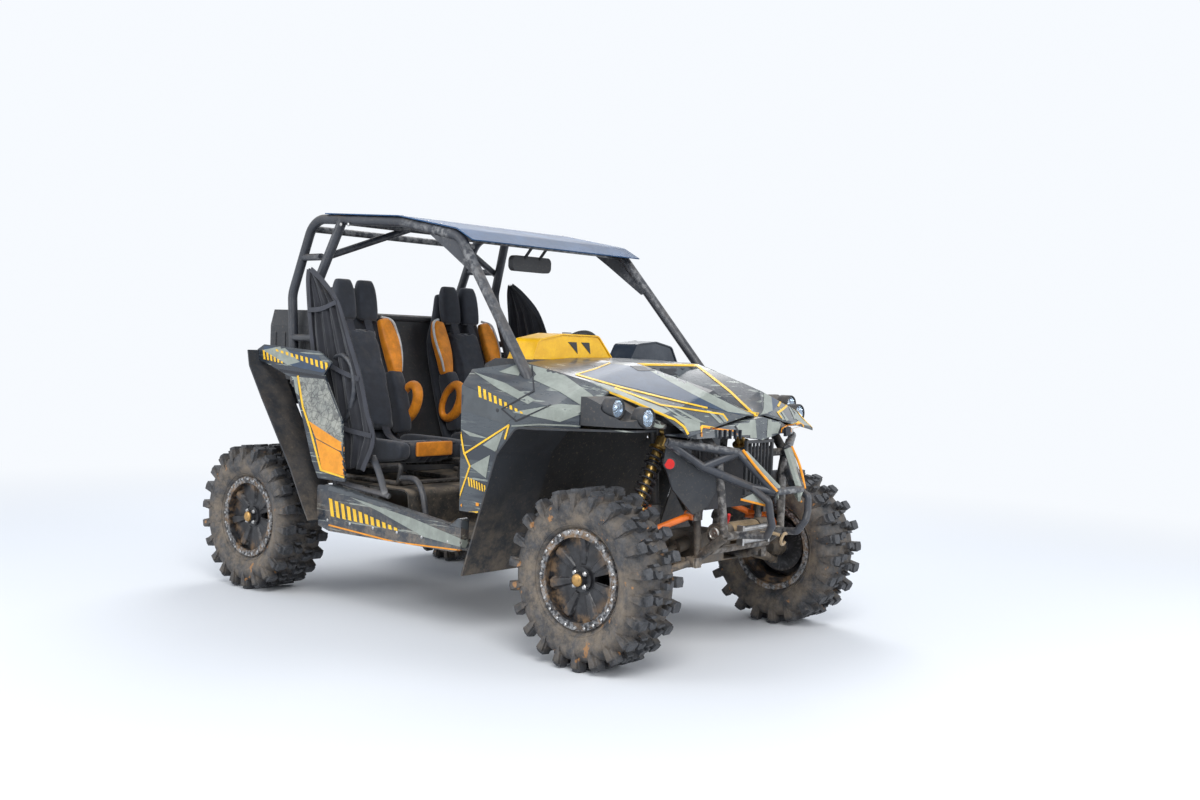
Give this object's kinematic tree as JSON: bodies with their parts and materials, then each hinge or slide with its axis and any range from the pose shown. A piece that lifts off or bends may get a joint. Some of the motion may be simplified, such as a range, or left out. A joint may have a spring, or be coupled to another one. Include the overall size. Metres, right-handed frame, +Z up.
{
  "type": "side-by-side off-road buggy",
  "caption": "Open off-road buggy with a tube roll cage, bucket seats, lugged wheels that roll and steer, coil shocks, a nose bumper with winch and a lidded cargo box",
  "frame": {"origin": "on the ground, below the middle of the buggy's box", "axes": "+X to the buggy's left, -Y to its front, +Z up"},
  "size_m": [1.6, 3.07, 1.8285],
  "materials": {
    "cage": "satin black powder coat, dusty",
    "frame": "satin black, mud in the corners",
    "roof": "dark sheet with a soft shine",
    "skid": "scraped black plastic",
    "tub": "grained black plastic, dusty",
    "engine": "dull cast alloy",
    "exhaust": "heat-browned steel",
    "seat": "black coated cloth with orange wings and white piping",
    "body": "near-black shell with grey streaks and yellow edge stripes",
    "arch": "mud-speckled black plastic",
    "lens": "clear lens over a bright bowl",
    "cargo": "grained black plastic",
    "bumper": "satin black tube",
    "winch": "muddy black with an alloy cap",
    "radiator": "dark fins",
    "grille": "black bars",
    "lower_arm": "black under dried mud",
    "upper_arm": "orange paint, chipped",
    "shock": "gold alloy body",
    "spring": "black coils",
    "knuckle": "muddy casting",
    "tyre": "black rubber, tan dust in the tread",
    "rim": "black with a scuffed bright ring",
    "shaft": "dark steel, muddy",
    "dash": "grained black plastic",
    "cowl": "yellow shell beside a dark one",
    "grip": "soft black rim",
    "net": "black mesh net"
  },
  "bodies": {
    "chassis": {"cage_sides": "cage", "cage_cross_tubes": "cage", "roof_panel": "roof", "frame_floor": "frame", "frame_front": "frame", "frame_posts": "frame", "frame_rear": "frame", "skid_plate": "skid", "floor_tub": "tub", "rear_bulkhead": "tub", "engine_block": "engine", "exhaust_silencer": "exhaust", "seats": "seat", "seat_frames": "frame", "hood": "body", "wheel_arches": "arch", "front_fenders": "body", "headlamp_pods": "body", "lamps": "lens", "nose_panel": "body", "rocker_panels": "body", "rear_quarters": "body", "cargo_box": "cargo", "tail_panel": "arch", "front_bumper": "bumper", "winch": "winch", "radiator": "radiator", "grille": "grille", "front_lower_arms": "lower_arm", "front_upper_arms": "upper_arm", "shock_absorbers": "shock", "shock_springs": "spring", "trailing_arms": "lower_arm", "drive_shafts": "shaft", "steering_column": "shaft", "dashboard": "dash", "dash_cowls": "cowl", "mirror": "dash", "side_nets": "net"},
    "cargo_lid": {"cargo_lid": "cargo"},
    "steering_wheel": {"steering_wheel": "grip"},
    "steering_rack": {"tie_rods": "shaft"},
    "knuckle_right": {"knuckle_right": "knuckle"},
    "knuckle_left": {"knuckle_left": "knuckle"},
    "wheel_front_right": {"rim_front_right": "rim", "tyre_front_right": "tyre"},
    "wheel_front_left": {"rim_front_left": "rim", "tyre_front_left": "tyre"},
    "wheel_rear_right": {"rim_rear_right": "rim", "tyre_rear_right": "tyre"},
    "wheel_rear_left": {"rim_rear_left": "rim", "tyre_rear_left": "tyre"}
  },
  "joints": [
    {"name": "steer_right", "type": "hinge", "parent": "chassis", "child": "knuckle_right", "pos_m": [-0.6, -1.0705, 0.35], "axis": [0, 0, 1], "range_deg": [-30, 30]},
    {"name": "steer_left", "type": "hinge", "parent": "chassis", "child": "knuckle_left", "pos_m": [0.6, -1.0705, 0.35], "axis": [0, 0, 1], "range_deg": [-30, 30]},
    {"name": "rack_slide", "type": "slide", "parent": "chassis", "child": "steering_rack", "axis": [1, 0, 0], "range_m": [-0.054, 0.054]},
    {"name": "steering_turn", "type": "hinge", "parent": "chassis", "child": "steering_wheel", "pos_m": [0.345, -0.02, 1.154], "axis": [0, 0.891, 0.454], "range_deg": [-272, 272]},
    {"name": "spin_front_right", "type": "hinge", "parent": "knuckle_right", "child": "wheel_front_right", "pos_m": [-0.67, -1.0705, 0.35], "axis": [1, 0, 0], "continuous": true},
    {"name": "spin_front_left", "type": "hinge", "parent": "knuckle_left", "child": "wheel_front_left", "pos_m": [0.67, -1.0705, 0.35], "axis": [1, 0, 0], "continuous": true},
    {"name": "spin_rear_right", "type": "hinge", "parent": "chassis", "child": "wheel_rear_right", "pos_m": [-0.67, 1.0705, 0.35], "axis": [1, 0, 0], "continuous": true},
    {"name": "spin_rear_left", "type": "hinge", "parent": "chassis", "child": "wheel_rear_left", "pos_m": [0.67, 1.0705, 0.35], "axis": [1, 0, 0], "continuous": true},
    {"name": "lid_hinge", "type": "hinge", "parent": "chassis", "child": "cargo_lid", "pos_m": [0, 0.902, 1.345], "axis": [1, 0, 0], "range_deg": [0, 50]}
  ],
  "couplings": [
    {"joint": "steer_left", "follows": "steer_right", "ratio": 1},
    {"joint": "rack_slide", "follows": "steer_right", "m_per_rad": -0.1},
    {"joint": "steering_turn", "follows": "steer_right", "ratio": 9}
  ]
}
